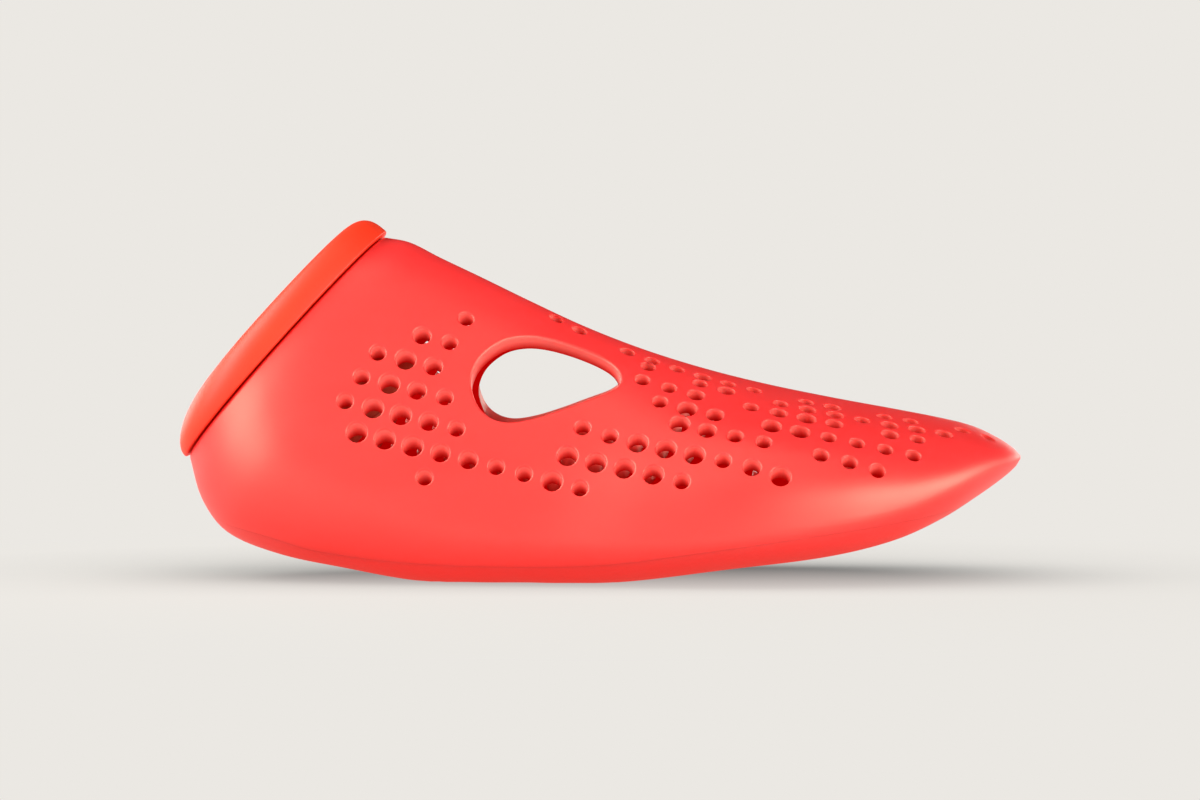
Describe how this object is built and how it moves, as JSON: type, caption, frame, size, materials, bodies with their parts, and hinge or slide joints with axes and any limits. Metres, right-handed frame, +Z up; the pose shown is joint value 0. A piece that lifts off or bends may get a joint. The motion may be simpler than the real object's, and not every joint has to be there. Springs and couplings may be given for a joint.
{
  "type": "shoe shaper",
  "caption": "Perforated hollow shoe shaper with a finger window, a separate sole and a pull-off heel cap that carries a scent block.",
  "frame": {"origin": "centre of the outline seen from above, on the surface that the sole rests on", "axes": "+X towards the toe, +Y to the left side, +Z up; the centre plane is Y = 0"},
  "size_m": [0.2638, 0.0994, 0.1125],
  "materials": {
    "red_plastic": "soft satin moulded plastic",
    "orange_plastic": "finely grained moulded plastic",
    "cedar": "bare planed cedar"
  },
  "bodies": {
    "shaper": {"upper_shell": "red_plastic", "sole_shell": "red_plastic"},
    "cap": {"heel_cap": "orange_plastic", "freshener_block": "cedar"}
  },
  "joints": [
    {"name": "cap_pull", "type": "slide", "parent": "shaper", "child": "cap", "axis": [-0.7465, 0, 0.6654], "range_m": [0, 0.06]}
  ]
}
